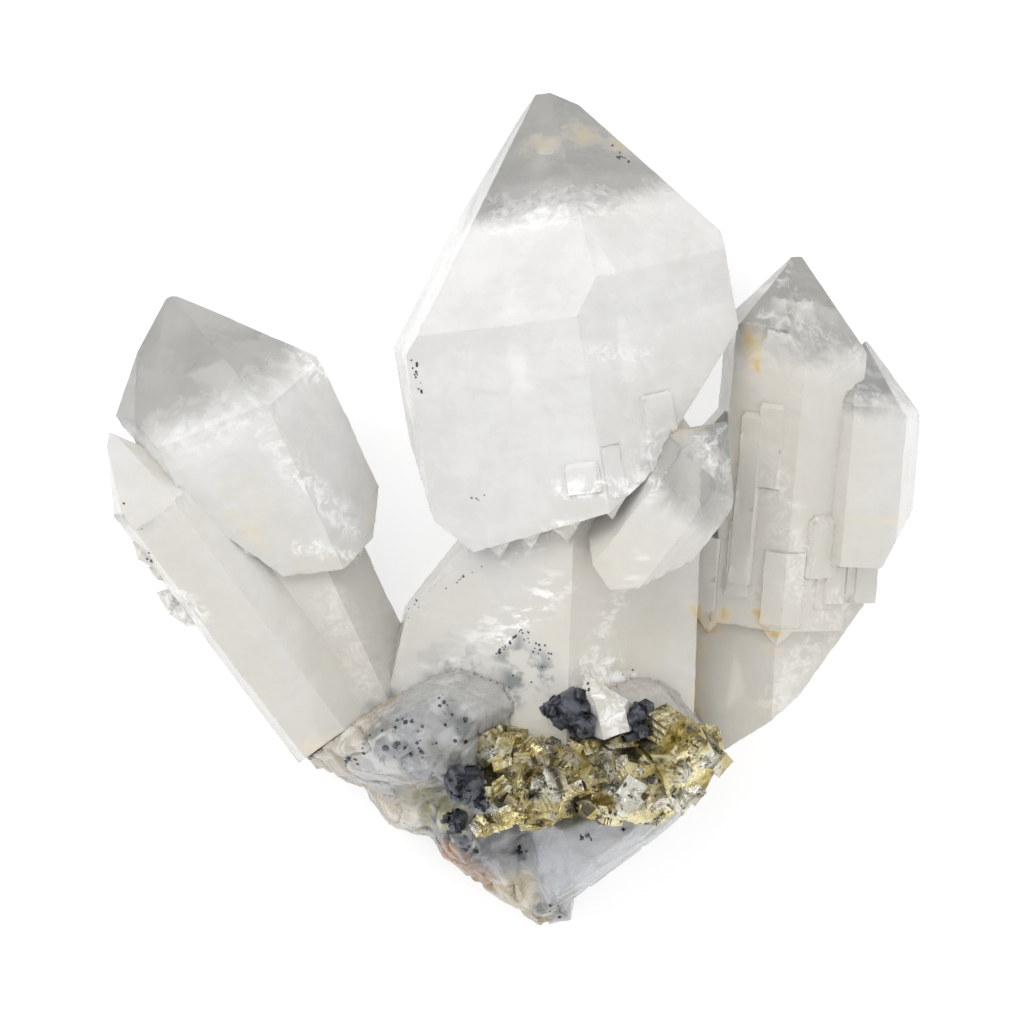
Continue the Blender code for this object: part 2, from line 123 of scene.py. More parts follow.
WARM_PLACES = (
    ((780, 420), (800, 640), 100, 0.8), ((600, 610), (560, 700), 100, 0.9),
    ((450, 620), (500, 690), 70, 0.7), ((330, 600), (345, 700), 60, 0.8),
    ((160, 560), (290, 730), 70, 0.7), ((740, 640), (720, 720), 60, 0.8),
    ((700, 480), (650, 560), 50, 0.6), ((150, 470), (170, 520), 30, 0.5),
    ((250, 500), (290, 540), 30, 0.5),
)
STREAKS = (
    ((500, 642), (546, 592), 8, 1.0), ((440, 668), (556, 586), 18, 0.25),
    ((585, 660), (640, 560), 8, 0.25), ((500, 215), (600, 200), 20, 0.25),
)
VEILS = (
    ((500, 215), (600, 200), 18, 0.3), ((590, 352), (640, 356), 9, 0.3),
    ((560, 490), (650, 486), 10, 0.9), ((180, 440), (270, 420), 16, 0.2),
    ((275, 442), (352, 530), 10, 0.5), ((330, 600), (372, 690), 16, 0.2),
    ((700, 440), (724, 470), 12, 0.7), ((775, 480), (800, 590), 18, 0.25),
    ((840, 600), (770, 700), 14, 0.3), ((795, 290), (800, 340), 12, 0.3),
    ((765, 285), (782, 272), 9, 0.4), ((760, 320), (800, 325), 10, 0.5),
    ((815, 330), (850, 350), 10, 0.4), ((835, 295), (850, 320), 6, 0.4),
    ((870, 345), (905, 405), 4, 0.5), ((655, 430), (640, 470), 10, 0.4),
    ((600, 680), (625, 715), 26, 1.0), ((300, 545), (350, 555), 6, 0.8),
    ((500, 556), (580, 520), 6, 0.6), ((300, 330), (320, 370), 12, 0.8),
    ((170, 600), (190, 615), 16, 0.6),
)
SMOKE = (
    ((400, 706), (470, 668), 20, 0.8), ((505, 690), (535, 672), 22, 1.0),
    ((470, 700), (480, 690), 14, 0.7), ((500, 655), (520, 645), 8, 0.8),
    ((350, 740), (372, 700), 10, 0.5), ((425, 655), (450, 640), 10, 0.4),
)
# Silvery places of the pyrite, and its pits, where shade is painted dark
SILVER = (
    ((525, 778), (540, 776), 20, 0.9), ((622, 776), (642, 784), 24, 1.0),
    ((698, 770), (690, 795), 20, 0.9), ((655, 805), (675, 800), 18, 0.9),
    ((590, 715), (602, 722), 12, 0.8), ((590, 760), (584, 775), 10, 0.7),
)
PIT_SHADE = (
    ((592, 734), (606, 737), 7, 1.0), ((553, 768), (560, 786), 5, 1.0),
    ((648, 772), (651, 780), 6, 1.0), ((662, 807), (666, 809), 5, 1.0),
    ((518, 774), (527, 775), 5, 1.0), ((597, 776), (601, 786), 5, 0.9),
    ((531, 795), (535, 793), 4, 1.0), ((575, 800), (590, 812), 9, 0.9),
    ((610, 760), (616, 772), 3, 0.9), ((656, 752), (664, 790), 2, 0.8),
    ((682, 745), (690, 770), 2, 0.8), ((545, 745), (556, 752), 4, 0.7),
    ((700, 735), (716, 745), 6, 0.7), ((500, 790), (508, 800), 4, 0.6),
    ((566, 745), (576, 760), 4, 0.7),
)
# Dark specks: start, end, spread, how many, and how much the largest exceed SMALLEST_SPECK in millimetres
SPECKS = (
    ((498, 652), (524, 626), 1, 26, 0.16), ((446, 588), (480, 564), 1, 10, 0.1),
    ((414, 362), (421, 392), 2, 14, 0.2), ((612, 152), (626, 160), 3, 8, 0.2),
    ((477, 496), (486, 499), 2, 4, 0.2), ((404, 620), (420, 596), 2, 6, 0.1),
    ((524, 638), (552, 652), 3, 14, 0.12), ((620, 650), (640, 690), 4, 4, 0.1),
    ((385, 745), (425, 735), 12, 26, 0.45), ((440, 700), (470, 735), 10, 16, 0.35),
    ((350, 762), (375, 752), 6, 7, 0.4), ((500, 690), (545, 668), 8, 8, 0.12),
    ((476, 768), (490, 776), 4, 5, 0.4), ((518, 846), (524, 850), 3, 5, 0.5),
    ((575, 832), (592, 838), 3, 5, 0.4), ((455, 835), (470, 850), 5, 8, 0.5),
    ((548, 900), (560, 912), 3, 4, 0.3), ((700, 770), (680, 800), 5, 8, 0.5),
    ((565, 700), (600, 690), 6, 8, 0.4), ((130, 500), (150, 560), 5, 5, 0.25),
    ((600, 815), (620, 822), 4, 5, 0.5),
)

# The rock's zones: middle and width in the photograph's pixels, colour, roughness of its relief
ROCK_ZONES = (
    ((345, 735), 42, (0.62, 0.56, 0.46), 1.0), ((440, 690), 60, (0.50, 0.50, 0.48), 0.25),
    ((500, 705), 50, (0.56, 0.55, 0.52), 0.15), ((420, 745), 45, (0.42, 0.43, 0.44), 0.5),
    ((655, 700), 34, (0.60, 0.57, 0.51), 0.15), ((470, 745), 40, (0.50, 0.51, 0.52), 0.4),
    ((380, 765), 30, (0.56, 0.57, 0.58), 0.6), ((395, 808), 32, (0.72, 0.66, 0.54), 0.7),
    ((440, 808), 22, (0.46, 0.44, 0.26), 1.0), ((460, 848), 26, (0.20, 0.20, 0.21), 1.0),
    ((470, 872), 18, (0.46, 0.27, 0.11), 1.0), ((515, 900), 20, (0.62, 0.50, 0.30), 1.0),
    ((550, 908), 20, (0.40, 0.40, 0.39), 1.0), ((560, 860), 45, (0.60, 0.62, 0.65), 0.15),
    ((625, 830), 50, (0.62, 0.64, 0.67), 0.15), ((500, 840), 30, (0.46, 0.47, 0.49), 0.4),
    ((690, 775), 30, (0.34, 0.34, 0.31), 1.0), ((660, 815), 22, (0.50, 0.49, 0.46), 0.8),
    ((600, 780), 40, (0.34, 0.34, 0.33), 1.0),
)
# Spots and rims on the rock: a stretch from one point to another, its width and strength, its colour
ROCK_SPOTS = (
    ((449, 712), (468, 730), 9, 0.8, (0.15, 0.16, 0.17)),
    ((370, 740), (394, 720), 8, 0.8, (0.16, 0.16, 0.15)),
    ((438, 750), (460, 766), 11, 0.75, (0.22, 0.23, 0.19)),
    ((454, 778), (478, 774), 9, 0.8, (0.10, 0.10, 0.12)),
    ((380, 742), (415, 756), 9, 0.6, (0.26, 0.27, 0.29)),
    ((400, 722), (440, 706), 10, 0.5, (0.30, 0.31, 0.33)),
    ((424, 792), (450, 822), 11, 0.8, (0.44, 0.40, 0.20)),
    ((452, 800), (462, 830), 6, 0.7, (0.62, 0.60, 0.50)),
    ((430, 830), (462, 852), 9, 0.9, (0.10, 0.10, 0.12)),
    ((460, 845), (474, 862), 7, 0.9, (0.12, 0.12, 0.15)),
    ((444, 854), (490, 886), 11, 1.0, (0.42, 0.18, 0.05)),
    ((490, 885), (528, 922), 9, 0.9, (0.50, 0.38, 0.18)),
    ((505, 878), (522, 900), 9, 0.6, (0.66, 0.58, 0.40)),
    ((545, 915), (572, 898), 9, 0.7, (0.24, 0.24, 0.23)),
    ((475, 822), (583, 812), 6, 0.6, (0.26, 0.27, 0.28)),
    ((575, 800), (600, 815), 10, 0.7, (0.22, 0.22, 0.23)),
    ((366, 786), (388, 806), 6, 0.7, (0.62, 0.50, 0.30)),
    ((340, 720), (372, 708), 8, 0.6, (0.55, 0.44, 0.27)),
    ((386, 700), (396, 690), 6, 0.7, (0.58, 0.45, 0.26)),
    ((480, 860), (520, 850), 14, 0.45, (0.30, 0.31, 0.33)),
    ((516, 848), (522, 850), 4, 0.9, (0.06, 0.06, 0.07)),
)


# Geometry helpers

def in_plan(pixel):
    """The plan place of a pixel of the photograph, as the camera looks straight down."""
    half = (PICTURE - 1) / 2
    return Vector(((pixel[0] - half) * PIXEL - MIDDLE.x, (half - pixel[1]) * PIXEL - MIDDLE.y))


def stretches(places):
    """Places in the photograph as (start, end, width, strength) in the plan."""
    return [(in_plan(start), in_plan(end), width * PIXEL, strength)
            for start, end, width, strength in places]


def share_near(place, made, warp=0.0):
    """How much a place belongs to the nearest of some stretches, from 0 to 1."""
    spot = Vector((place.x, place.y))
    if warp:
        spot += Vector((noise.noise(place * 0.6), noise.noise(place * 0.6 + Vector((9.0, 4.0, 2.0))))) * warp
    best = 0.0
    for start, end, width, strength in made:
        run = end - start
        along = min(max((spot - start).dot(run) / max(run.length_squared, NEAR), 0.0), 1.0)
        away = (spot - start - run * along).length
        if away < width * FADE_OUT:
            best = max(best, strength * smooth(width * FADE_OUT, width * FADE_IN, away))
    return best


def facing(turn, slope):
    """A direction whose plan turns by turn from +Y towards +X, lifted by slope, in degrees."""
    turn, slope = math.radians(turn), math.radians(slope)
    return Vector((math.sin(turn) * math.cos(slope), math.cos(turn) * math.cos(slope), math.sin(slope)))


def crystal_axes(turns):
    """The c axis of a crystal, and the two directions across it."""
    lean, pitch, roll = turns
    along = facing(lean, pitch)
    up = Vector((0.0, 0.0, 1.0))
    front = (up - along * up.dot(along)).normalized()
    return along, front, along.cross(front)


def crystal_planes(foot, turns, sides, tips):
    """The prism and tip faces of one crystal as (point, normal, is a tip face)."""
    along, front, right = crystal_axes(turns)
    foot = Vector(foot) - MIDDLE
    planes = []
    for i in range(SIDE_COUNT):
        turn = math.radians(turns[2] + i * 360.0 / SIDE_COUNT)
        outward = front * math.cos(turn) + right * math.sin(turn)
        tip = outward * math.sin(math.radians(CAP_ANGLE)) + along * math.cos(math.radians(CAP_ANGLE))
        planes.append((foot + outward * sides[i], outward, False))
        planes.append((foot + along * tips[i], tip, True))
    return planes


def smooth(low, high, value):
    """A smooth step from 0 at low to 1 at high."""
    share = min(max((value - low) / (high - low), 0.0), 1.0)
    return share * share * (3.0 - 2.0 * share)


def cad_bmesh(node):
    """A copy of a CAD node in millimetres, with its flat faces whole."""
    bm = bmesh.new()
    bm.from_mesh(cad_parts[node].data)
    bmesh.ops.scale(bm, vec=(1 / MM,) * 3, verts=bm.verts[:])
    bmesh.ops.remove_doubles(bm, verts=bm.verts[:], dist=MERGE_DISTANCE)
    bmesh.ops.dissolve_limit(bm, angle_limit=math.radians(FLAT_ANGLE), verts=bm.verts[:], edges=bm.edges[:])
    return bm


def rock_zone(place):
    """The rock's colour and roughness at a place, blended from the zones seen in the photograph."""
    wander = ZONE_WANDER + DEEP_WANDER * max(ROCK_TOP - place.z, 0.0)
    spot = Vector((place.x, place.y)) + Vector((
        noise.noise(place * 0.3), noise.noise(place * 0.3 + Vector((5.0, 8.0, 2.0))))) * wander
    total, mixed = NEAR, Vector((0.0, 0.0, 0.0, 0.0))
    for pixel, width, colour, rough in ROCK_ZONES:
        away = (spot - in_plan(pixel)).length / (width * PIXEL)
        weight = math.exp(-away * away * ZONE_FALL) + NEAR * 0.01
        mixed += Vector((*colour, rough)) * weight
        total += weight
    return mixed / total


def evenly_meshed(node, cell):
    """A CAD node in millimetres, as a closed mesh of even squares."""
    bm = cad_bmesh(node)
    mesh = bpy.data.meshes.new("even")
    bm.to_mesh(mesh)
    bm.free()
    obj = bpy.data.objects.new("even", mesh)
    bpy.context.scene.collection.objects.link(obj)
    remesh = obj.modifiers.new("Remesh", "REMESH")
    remesh.mode = "VOXEL"
    remesh.voxel_size = cell
    made = obj.evaluated_get(bpy.context.evaluated_depsgraph_get()).to_mesh()
    even = bmesh.new()
    even.from_mesh(made)
    bpy.data.objects.remove(obj)
    bpy.data.meshes.remove(mesh)
    return even


def slice_faces(bm, layer, region, normal, levels):
    """Cuts a region's faces by parallel planes, from the lowest level to the highest."""
    waiting = [face for face in bm.faces if face[layer] == region]
    for level in levels:
        crossing, beyond = [], {}
        for face in waiting:
            reach = [vert.co.dot(normal) for vert in face.verts]
            if max(reach) <= level + NEAR:
                continue
            if min(reach) >= level - NEAR:
                beyond[face] = True
            else:
                crossing.append(face)
        if crossing:
            parts = dict.fromkeys(crossing)
            parts.update(dict.fromkeys(edge for face in crossing for edge in face.edges))
            parts.update(dict.fromkeys(vert for face in crossing for vert in face.verts))
            cut = bmesh.ops.bisect_plane(
                bm, geom=list(parts), dist=NEAR, plane_co=normal * level, plane_no=normal)
            pieces = dict.fromkeys(crossing)
            for edge in cut["geom_cut"]:
                if isinstance(edge, bmesh.types.BMEdge):
                    for face in edge.link_faces:
                        if face[layer] == region:
                            pieces[face] = True
            for face in pieces:
                if face.calc_center_median().dot(normal) > level:
                    beyond[face] = True
        waiting = list(beyond)


def levels_between(low, high, spacing, chance):
    """Levels from low to high, unevenly spaced."""
    levels = []
    level = low + spacing * chance.random()
    while level < high:
        levels.append(level)
        level += spacing * chance.uniform(*SPACING)
    return levels


def step_height(place, along, across, tip_face, seed):
    """How far a growth face lies below its outermost layer at a place."""
    u, v = place.dot(across), place.dot(along)
    wander = noise.noise(Vector((u * 0.16, v * 0.05, seed * 3.1)))
    broad = noise.cell(Vector(((v + 2.4 * wander) * 0.23, u * 0.035 + wander * 0.6, seed * 5.7)))
    fine = noise.cell(Vector(((v + 0.8 * wander) * 0.9, u * 0.11, seed * 2.3)))
    wave = 0.5 + 0.5 * noise.noise(Vector((u * 0.18, v * 0.12, seed * 1.7)))
    share = 0.45 if tip_face else 1.0
    return share * STEP_DEPTH * (0.7 * broad + 0.3 * fine) + WAVE_DEPTH * wave


# The quartz

def quartz_piece():
    """All the quartz, its faces divided and set back in growth steps."""
    bm = cad_bmesh("quartz_crystals")
    layer = bm.faces.layers.int.new("crystal")
    side = bm.faces.layers.int.new("side")
    names = list(CRYSTALS)
    planes = {name: crystal_planes(*CRYSTALS[name][:4]) for name in names}
    for face in bm.faces:
        face[layer] = BROKEN
        centre = face.calc_center_median()
        for index, name in enumerate(names):
            for number, (point, normal, tip_face) in enumerate(planes[name]):
                if face.normal.dot(normal) > SAME_FACING and abs((centre - point).dot(normal)) < SAME_PLANE:
                    face[layer] = index
                    face[side] = number
    chance = random.Random(SEED)
    for index, name in enumerate(names):
        along, front, right = crystal_axes(CRYSTALS[name][1])
        own = [vert.co for face in bm.faces if face[layer] == index for vert in face.verts]
        if not own:
            continue
        for normal, spacing in ((front, WIDE_SLICE), (right, WIDE_SLICE), (along, FINE_SLICE)):
            reach = [place.dot(normal) for place in own]
            slice_faces(bm, layer, index, normal, levels_between(min(reach), max(reach), spacing, chance))
    own = [vert.co for face in bm.faces if face[layer] == BROKEN for vert in face.verts]
    for axis in range(3):
        normal = Vector((float(axis == 0), float(axis == 1), float(axis == 2)))
        reach = [place[axis] for place in own]
        slice_faces(bm, layer, BROKEN, normal, levels_between(min(reach), max(reach), SMALL_SLICE, chance))
    bm.normal_update()
    moves = {}
    growth = []
    for vert in bm.verts:
        growth.append(0.0)
        move = Vector((0.0, 0.0, 0.0))
        used = {}
        if any(face[layer] == BROKEN for face in vert.link_faces):
            rough = 0.5 + 0.5 * noise.fractal(vert.co * 0.9, 1.0, 2.0, 3)
            move -= vert.normal * CHIP_DEPTH * min(max(rough, 0.0), 1.0)
        for face in vert.link_faces:
            index = face[layer]
            if index < 0 or (index, face[side]) in used:
                continue
            used[(index, face[side])] = True
            along = crystal_axes(CRYSTALS[names[index]][1])[0]
            normal = face.normal.copy()
            tip_face = planes[names[index]][face[side]][2]
            across = normal.cross(along).normalized()
            number = index * 2 * SIDE_COUNT + face[side]
            height = step_height(vert.co, along, across, tip_face, number)
            move -= normal * height
            growth[-1] = max(growth[-1], height / (STEP_DEPTH + WAVE_DEPTH))
        if vert.co.z > FLOOR_ZONE:
            moves[vert] = move
    for vert, move in moves.items():
        vert.co += move
    clear = []
    for vert in bm.verts:
        owners = dict.fromkeys(names[face[layer]] for face in vert.link_faces if face[layer] >= 0)
        clear.append(max((clearness(vert.co, *CRYSTALS[name]) for name in owners), default=0.0))
    for face in bm.faces:
        face.smooth = True
    bmesh.ops.scale(bm, vec=(MM,) * 3, verts=bm.verts[:])
    mesh = bpy.data.meshes.new("quartz")
    bm.to_mesh(mesh)
    bm.free()
    mesh.set_sharp_from_angle(angle=math.radians(QUARTZ_EDGE))
    mesh.attributes.new("growth", "FLOAT", "POINT").data.foreach_set("value", growth)
    mesh.attributes.new("clear", "FLOAT", "POINT").data.foreach_set("value", clear)
    for name, places, warp in (("stain", STAINS, 0.8), ("warm", WARM_PLACES, 3.0), ("veil", VEILS, 0.8),
                               ("streak", STREAKS, 0.8), ("smoke", SMOKE, 1.2)):
        made = stretches(places)
        paint(mesh, name, lambda place: share_near(place, made, warp) if place.z > MARKS_ABOVE else 0.0)
    return add_object("quartz_growth", mesh, quartz_material())


def clearness(place, foot, turns, sides, tips, clear):
    """How clear a crystal is at a place on it, from 0 for milky to 1 for clear."""
    if clear == 0.0:
        return 0.0
    height = (place - (Vector(foot) - MIDDLE)).dot(crystal_axes(turns)[0])
    height += CLEAR_WANDER * noise.noise(place * 0.2)
    tip = min(tips[:3])
    return smooth(tip - clear * 1.6, tip - clear * 0.6, height)


def paint(mesh, name, value_at):
    """Stores a value for each corner point of a mesh, as its material reads it."""
    attribute = mesh.attributes.new(name, "FLOAT", "POINT")
    attribute.data.foreach_set("value", [value_at(vert.co / MM) for vert in mesh.vertices])


def add_object(name, mesh, material):
    """Adds a mesh to the scene as an object with one material."""
    mesh.materials.clear()
    mesh.materials.append(material)
    obj = bpy.data.objects.new(name, mesh)
    bpy.context.scene.collection.objects.link(obj)
    return obj


# The matrix

def rock_piece():
    """The vein rock, with a rough broken surface and a flat underside."""
    bm = evenly_meshed("matrix", ROCK_CELL)
    others = bmesh.new()
    for name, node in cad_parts.items():
        if name != "matrix":
            others.from_mesh(node.data)
    bmesh.ops.scale(others, vec=(1 / MM,) * 3, verts=others.verts[:])
    neighbours = BVHTree.FromBMesh(others)
    others.free()
    bm.normal_update()
    moves = []
    for vert in bm.verts:
        near = neighbours.find_nearest(vert.co, ROCK_FREE + 0.1)[3]
        if near is None:
            near = ROCK_FREE
        if vert.co.z < ROCK_BASE:
            depth = 0.0
        elif near < ROCK_CONTACT:
            depth = -ROCK_OVERLAP
        else:
            rough = noise.fractal(vert.co * 0.35, 0.9, 2.1, 5)
            crease = abs(noise.noise(vert.co * 0.22 + Vector((7.0, 3.0, 1.0))))
            depth = ROCK_RELIEF * min(max(0.45 + 0.5 * rough, 0.0), 1.2)
            depth += ROCK_CREASE * smooth(0.12, 0.0, crease)
            depth *= 0.25 + 0.9 * rock_zone(vert.co)[3]
            depth *= smooth(ROCK_CONTACT, ROCK_FREE, near)
        moves.append(-vert.normal * depth)
    for vert, move in zip(bm.verts, moves):
        vert.co += move
        vert.co.z = max(vert.co.z, 0.0)
    for face in bm.faces:
        face.smooth = True
    bmesh.ops.scale(bm, vec=(MM,) * 3, verts=bm.verts[:])
    mesh = bpy.data.meshes.new("rock")
    bm.to_mesh(mesh)
    bm.free()
    mesh.set_sharp_from_angle(angle=math.radians(ROCK_EDGE))
    spots = [(stretches([spot[:4]]), Vector(spot[4])) for spot in ROCK_SPOTS]
    tint = mesh.attributes.new("tint", "FLOAT_COLOR", "POINT")
    values = []
    for vert in mesh.vertices:
        place = vert.co / MM
        zone = rock_zone(place)
        colour = Vector(zone[:3])
        for spot, spot_colour in spots:
            share = share_near(place, spot, 1.3)
            if share > 0.0:
                fade = smooth(*SPOTS_FADE, place.z + 8.0 * noise.noise(place * 0.25))
                colour = colour.lerp(spot_colour, share * fade)
        values += [*(colour * ROCK_TONE), zone[3]]
    tint.data.foreach_set("color", values)
    return add_object("rock_surface", mesh, rock_material())


# Small crystals

def grid_cube(cuts):
    """A cube from -1/2 to 1/2 with every face divided, as points and faces."""
    bm = bmesh.new()
    bmesh.ops.create_cube(bm, size=1.0)
    bmesh.ops.subdivide_edges(bm, edges=bm.edges[:], cuts=cuts, use_grid_fill=True)
    points = [vert.co.copy() for vert in bm.verts]
    faces = [[vert.index for vert in face.verts] for face in bm.faces]
    bm.free()
    return points, faces


def striated(point, cuts, depth):
    """A point of a divided cube, set back where a groove runs. Grooves on neighbouring faces cross."""
    moved = point.copy()
    for axis in range(3):
        if abs(point[axis]) > 0.499:
            groove = round((point[(axis + 1) % 3] + 0.5) * (cuts + 1)) % 2
            moved[axis] -= math.copysign(depth * groove, point[axis])
    return moved


def places_on(nodes, count, chance):
    """Random places on the upper side of some CAD nodes, with the face's normal."""
    faces, areas = [], []
    for name in nodes:
        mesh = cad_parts[name].data
        mesh.calc_loop_triangles()
        for triangle in mesh.loop_triangles:
            if triangle.normal.z > FACET_SLOPE:
                corners = [mesh.vertices[i].co / MM for i in triangle.vertices]
                faces.append((corners, triangle.normal.copy()))
                areas.append(triangle.area)
    places = []
    for corners, normal in chance.choices(faces, weights=areas, k=count):
        a, b = sorted((chance.random(), chance.random()))
        places.append((corners[0] * a + corners[1] * (b - a) + corners[2] * (1.0 - b), normal))
    return places


def places_seen(surfaces, chance):
    """Places of the dark specks on the surface that the camera sees, each with its normal and size."""
    seen = bmesh.new()
    for piece in surfaces:
        seen.from_mesh(piece.data)
    bmesh.ops.scale(seen, vec=(1 / MM,) * 3, verts=seen.verts[:])
    tree = BVHTree.FromBMesh(seen)
    seen.free()
    places = []
    for start, end, spread, count, largest in SPECKS:
        for i in range(count):
            share = chance.random()
            pixel = [a + (b - a) * share + chance.gauss(0, spread) for a, b in zip(start, end)]
            spot = in_plan(pixel)
            place, normal = tree.ray_cast(Vector((spot.x, spot.y, RAY_HEIGHT)), Vector((0.0, 0.0, -1.0)))[:2]
            if place is not None:
                places.append((place, normal, largest * chance.random() + SMALLEST_SPECK))
    return places


def small_cubes(name, places, sizes, sunk, depth, material, chance):
    """Many small cubes that grow out of places, each turned its own way, as one piece.

    Their sizes lie between two, or come with the places.
    """
    cubes = {cuts: grid_cube(cuts) for cuts in (FEW_CUTS, MANY_CUTS)}
    points, faces = [], []
    for place, normal, *given in places:
        size = given[0] if given else sizes[0] * (sizes[1] / sizes[0]) ** chance.random()
        cuts = FEW_CUTS if size < LARGE_CUBE else MANY_CUTS
        turn = Matrix.Rotation(chance.uniform(0, math.tau), 3, "Z")
        for axis in "XY":
            turn = turn @ Matrix.Rotation(chance.uniform(-CUBE_TILT, CUBE_TILT), 3, axis)
        stretch = Vector([chance.uniform(*CUBE_STRETCH) * size for axis in range(3)])
        made, quads = cubes[cuts]
        base = len(points)
        for point in made:
            moved = striated(point, cuts, min(depth / size, GROOVE_SHARE))
            moved = Vector([moved[axis] * stretch[axis] for axis in range(3)])
            points.append((place - normal * size * sunk + turn @ moved) * MM)
        faces += [[base + i for i in quad] for quad in quads]
    mesh = bpy.data.meshes.new(name)
    mesh.from_pydata(points, [], faces)
    return add_object(name, mesh, material)


# Materials

class Nodes:
    """Builds a node material a step at a time."""

    def __init__(self, name):
        self.material = bpy.data.materials.new(name)
        self.material.use_nodes = True
        self.tree = self.material.node_tree
        self.shader = self.tree.nodes["Principled BSDF"]
        self.output = self.tree.nodes["Material Output"]
        self.place = self.tree.nodes.new("ShaderNodeTexCoord").outputs["Object"]

    def join(self, value, socket):
        """Links a socket, or sets a constant."""
        if isinstance(value, bpy.types.NodeSocket):
            self.tree.links.new(value, socket)
        else:
            socket.default_value = value

    def set(self, name, value):
        """Links or sets an input of the shader."""
        self.join(value, self.shader.inputs[name])

    def noise(self, size, detail, roughness=0.5, distortion=0.0, place=None, low=None, high=None):
        """Noise whose features are size metres wide, optionally stretched between low and high."""
        node = self.tree.nodes.new("ShaderNodeTexNoise")
        node.inputs["Scale"].default_value = 1.0 / size
        node.inputs["Detail"].default_value = detail
        node.inputs["Roughness"].default_value = roughness
        node.inputs["Distortion"].default_value = distortion
        self.join(place or self.place, node.inputs["Vector"])
        value = node.outputs["Fac"]
        return value if low is None else self.span(value, low, high)

    def span(self, value, low, high, to_low=0.0, to_high=1.0):
        """A value stretched smoothly from low and high to two others."""
        node = self.tree.nodes.new("ShaderNodeMapRange")
        node.interpolation_type = "SMOOTHSTEP"
        self.join(value, node.inputs["Value"])
        node.inputs["From Min"].default_value = low
        node.inputs["From Max"].default_value = high
        node.inputs["To Min"].default_value = to_low
        node.inputs["To Max"].default_value = to_high
        return node.outputs["Result"]

    def math(self, operation, first, second):
        """The outcome of one sum, kept between 0 and 1."""
        node = self.tree.nodes.new("ShaderNodeMath")
        node.operation = operation
        node.use_clamp = True
        self.join(first, node.inputs[0])
        self.join(second, node.inputs[1])
        return node.outputs[0]

    def mix(self, share, first, second):
        """A colour between two others, at a share of the way."""
        node = self.tree.nodes.new("ShaderNodeMix")
        node.data_type = "RGBA"
        for value, name in ((share, "Factor"), (first, "A"), (second, "B")):
            sockets = [socket for socket in node.inputs if socket.name == name and socket.enabled]
            if isinstance(value, tuple):
                value = (*value, 1.0)
            self.join(value, sockets[0])
        return [socket for socket in node.outputs if socket.enabled][0]

    def painted(self, name, output="Fac"):
        """A value or colour painted on the mesh, 0 where the mesh has none of that name."""
        node = self.tree.nodes.new("ShaderNodeAttribute")
        node.attribute_name = name
        return node.outputs[output]

    def streaks(self, turn, across, along, low, high):
        """Noise drawn out along X. The turn, in degrees, only takes another part of its pattern."""
        node = self.tree.nodes.new("ShaderNodeMapping")
        node.inputs["Rotation"].default_value = (0.0, 0.0, math.radians(-turn))
        node.inputs["Scale"].default_value = (across / along, 1.0, 1.0)
        self.join(self.place, node.inputs["Vector"])
        drawn_out = node.outputs["Vector"]
        return self.noise(across, detail=3.0, roughness=0.6, place=drawn_out, low=low, high=high)

    def bump(self, height, distance):
        """Normals of a fine relief, distance metres high."""
        node = self.tree.nodes.new("ShaderNodeBump")
        node.inputs["Strength"].default_value = 1.0
        node.inputs["Distance"].default_value = distance
        self.join(height, node.inputs["Height"])
        return node.outputs["Normal"]


